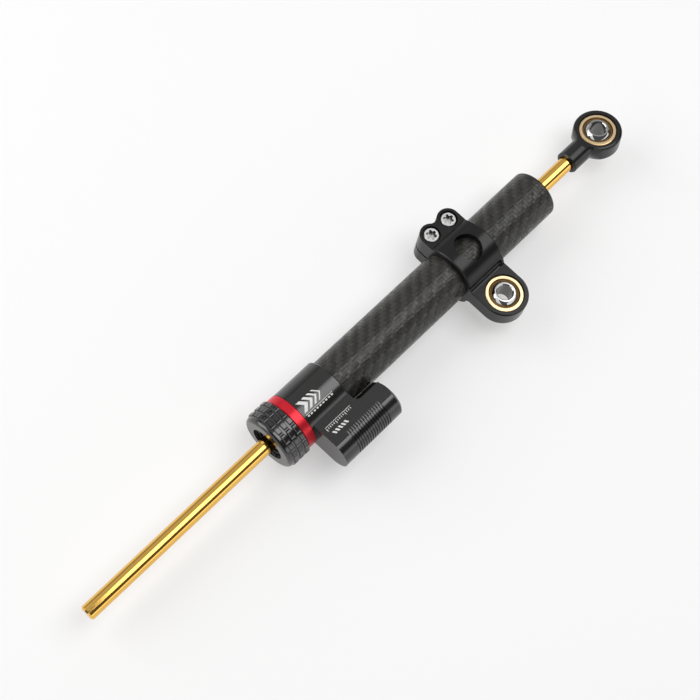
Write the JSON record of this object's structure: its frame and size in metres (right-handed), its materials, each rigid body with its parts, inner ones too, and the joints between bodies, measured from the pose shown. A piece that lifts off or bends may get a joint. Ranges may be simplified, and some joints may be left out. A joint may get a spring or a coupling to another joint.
{
  "type": "steering damper",
  "caption": "Linear motorcycle steering damper: through rod in a carbon tube, adjuster knob, side reservoir, split tube clamp and spherical joints at both ends.",
  "frame": {"origin": "centre of the bore in the body's ball joint, in the middle of the clamp's lug", "axes": "+X along the damper from the plain rod tip towards the rod end, +Z along the bolt of the body's ball joint, +Y from that ball joint towards the tube and the clamp screws"},
  "size_m": [0.3662, 0.0631, 0.034],
  "materials": {
    "black_anodised": "satin black anodised",
    "knob_black": "glossy black anodised",
    "red_anodised": "red anodised",
    "plain_aluminium": "machined",
    "gold_rod": "gold coloured hard coating, polished",
    "carbon": "clear coated carbon weave",
    "spring_steel": "bright",
    "screw_steel": "bright plated",
    "race_gold": "yellow plated",
    "ball_chrome": "polished",
    "ptfe": "woven low friction liner",
    "bush_bronze": "bearing bronze",
    "seal_rubber": "matt",
    "band_plastic": "filled low friction plastic"
  },
  "bodies": {
    "body": {"head_block": "black_anodised", "red_ring": "red_anodised", "knob_circlip": "spring_steel", "detent_spring": "spring_steel", "front_bush": "bush_bronze", "front_seal": "seal_rubber", "front_spacer": "plain_aluminium", "front_wiper": "seal_rubber", "pressure_tube": "plain_aluminium", "tube_oring": "seal_rubber", "carbon_sleeve": "carbon", "end_cap": "black_anodised", "cap_oring": "seal_rubber", "rear_bush": "bush_bronze", "rear_seal": "seal_rubber", "rear_wiper": "seal_rubber", "bump_stops": "seal_rubber", "reservoir_cap": "black_anodised", "reservoir_oring": "seal_rubber", "gas_valve_screw": "screw_steel", "clamp": "black_anodised", "clamp_screws": "screw_steel", "body_joint_race": "race_gold", "body_joint_liner": "ptfe"},
    "rod": {"piston_rod": "gold_rod", "piston": "plain_aluminium", "piston_band": "band_plastic", "piston_shims": "spring_steel", "piston_circlip_left": "spring_steel", "piston_circlip_right": "spring_steel"},
    "rod_end": {"rod_end_housing": "black_anodised", "rod_joint_race": "race_gold", "rod_joint_liner": "ptfe"},
    "rod_end_ball": {"rod_joint_ball": "ball_chrome"},
    "body_ball": {"body_joint_ball": "ball_chrome"},
    "knob": {"adjuster_knob": "knob_black"},
    "adjuster": {"adjuster_nut": "bush_bronze", "metering_needle": "spring_steel", "needle_seal": "seal_rubber"},
    "click_ball": {"detent_ball": "screw_steel"},
    "float": {"floating_piston": "plain_aluminium", "floating_piston_ring": "seal_rubber"}
  },
  "joints": [
    {"name": "rod_slide", "type": "slide", "parent": "body", "child": "rod", "axis": [1, 0, 0], "range_m": [-0.0045, 0.104]},
    {"name": "rod_end_roll", "type": "hinge", "parent": "rod", "child": "rod_end", "pos_m": [0.085, 0.027, 0], "axis": [1, 0, 0], "continuous": true},
    {"name": "rod_end_ball_spin", "type": "hinge", "parent": "rod_end", "child": "rod_end_ball", "pos_m": [0.1045, 0.027, 0], "axis": [0, 0.1461, 0.9893], "continuous": true},
    {"name": "body_ball_spin", "type": "hinge", "parent": "body", "child": "body_ball", "pos_m": [0, 0, 0], "axis": [0, 0, 1], "continuous": true},
    {"name": "knob_turn", "type": "hinge", "parent": "body", "child": "knob", "pos_m": [-0.1305, 0.027, 0], "axis": [1, 0, 0], "range_deg": [-165, 165]},
    {"name": "adjuster_travel", "type": "slide", "parent": "body", "child": "adjuster", "axis": [1, 0, 0], "range_m": [-0.0005, 0.0005]},
    {"name": "click_press", "type": "slide", "parent": "body", "child": "click_ball", "axis": [0, 0, 1], "range_m": [-0.0005, 0], "stiffness_N_per_m": 300, "springref_m": 0.001, "deforming": ["detent_spring"]},
    {"name": "float_slide", "type": "slide", "parent": "body", "child": "float", "axis": [1, 0, 0], "range_m": [-0.004, 0.004]}
  ],
  "couplings": [
    {"joint": "adjuster_travel", "follows": "knob_turn", "m_per_rad": 0.00015915}
  ]
}
